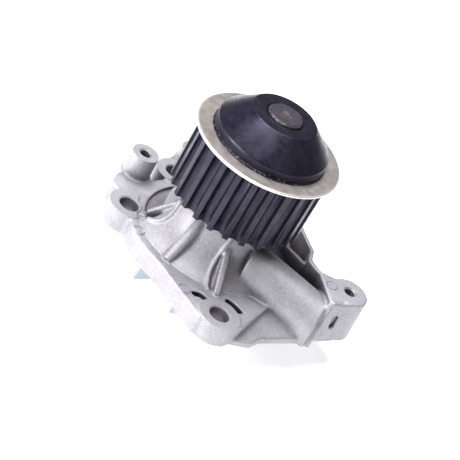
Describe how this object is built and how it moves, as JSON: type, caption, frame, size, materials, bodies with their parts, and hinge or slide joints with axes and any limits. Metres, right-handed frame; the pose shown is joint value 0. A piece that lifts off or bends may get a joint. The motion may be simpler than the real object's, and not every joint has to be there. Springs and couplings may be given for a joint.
{
  "type": "water pump",
  "caption": "Engine coolant pump driven by a toothed timing belt: cast flange and bell, toothed pulley, bearing, face seal and vaned impeller.",
  "frame": {"origin": "on the shaft axis, in the gasket face that bolts to the engine block", "axes": "+Z along the shaft from the engine block to the pulley; +X towards the duct and its end boss"},
  "size_m": [0.1263, 0.1146, 0.0973],
  "materials": {
    "cast_aluminium": "sand-fine die-cast skin, matt",
    "black_sintered_steel": "black oxide over turned and sintered steel, satin",
    "bright_plate": "plated steel, brushed",
    "ground_steel": "ground and hardened",
    "bearing_steel": "polished",
    "nylon_cage": "moulded nylon",
    "black_rubber": "moulded",
    "drawn_brass": "drawn sheet",
    "spring_steel": "drawn wire",
    "carbon_graphite": "lapped",
    "alumina_ceramic": "lapped",
    "pressed_steel": "pressed sheet, zinc flash"
  },
  "bodies": {
    "housing": {"pump_housing": "cast_aluminium", "bearing_outer_race": "ground_steel", "front_bearing_seal": "black_rubber", "rear_bearing_seal": "black_rubber", "seal_cartridge_cup": "drawn_brass", "seal_bellows": "black_rubber", "seal_spring": "spring_steel"},
    "rotor": {"drive_shaft": "ground_steel", "timing_pulley": "black_sintered_steel", "belt_guide_disc": "bright_plate", "water_slinger": "bright_plate", "seal_mating_ring": "alumina_ceramic", "mating_ring_boot": "black_rubber", "impeller": "pressed_steel", "impeller_hub": "ground_steel"},
    "ball_set": {"bearing_balls": "bearing_steel", "ball_cage": "nylon_cage"},
    "roller_set": {"bearing_rollers": "bearing_steel", "roller_cage": "nylon_cage"},
    "seal_face": {"seal_carbon_ring": "carbon_graphite", "seal_spring_seat": "spring_steel"}
  },
  "joints": [
    {"name": "shaft_spin", "type": "hinge", "parent": "housing", "child": "rotor", "pos_m": [0, 0, 0.04], "axis": [0, 0, 1], "continuous": true},
    {"name": "ball_set_spin", "type": "hinge", "parent": "housing", "child": "ball_set", "pos_m": [0, 0, 0.05], "axis": [0, 0, 1], "continuous": true},
    {"name": "roller_set_spin", "type": "hinge", "parent": "housing", "child": "roller_set", "pos_m": [0, 0, 0.03], "axis": [0, 0, 1], "continuous": true},
    {"name": "seal_face_slide", "type": "slide", "parent": "housing", "child": "seal_face", "axis": [0, 0, 1], "range_m": [0, 0.0008], "stiffness_N_per_m": 8000, "deforming": ["seal_spring", "seal_bellows"]}
  ],
  "couplings": [
    {"joint": "ball_set_spin", "follows": "shaft_spin", "ratio": 0.3672},
    {"joint": "roller_set_spin", "follows": "shaft_spin", "ratio": 0.4008}
  ]
}
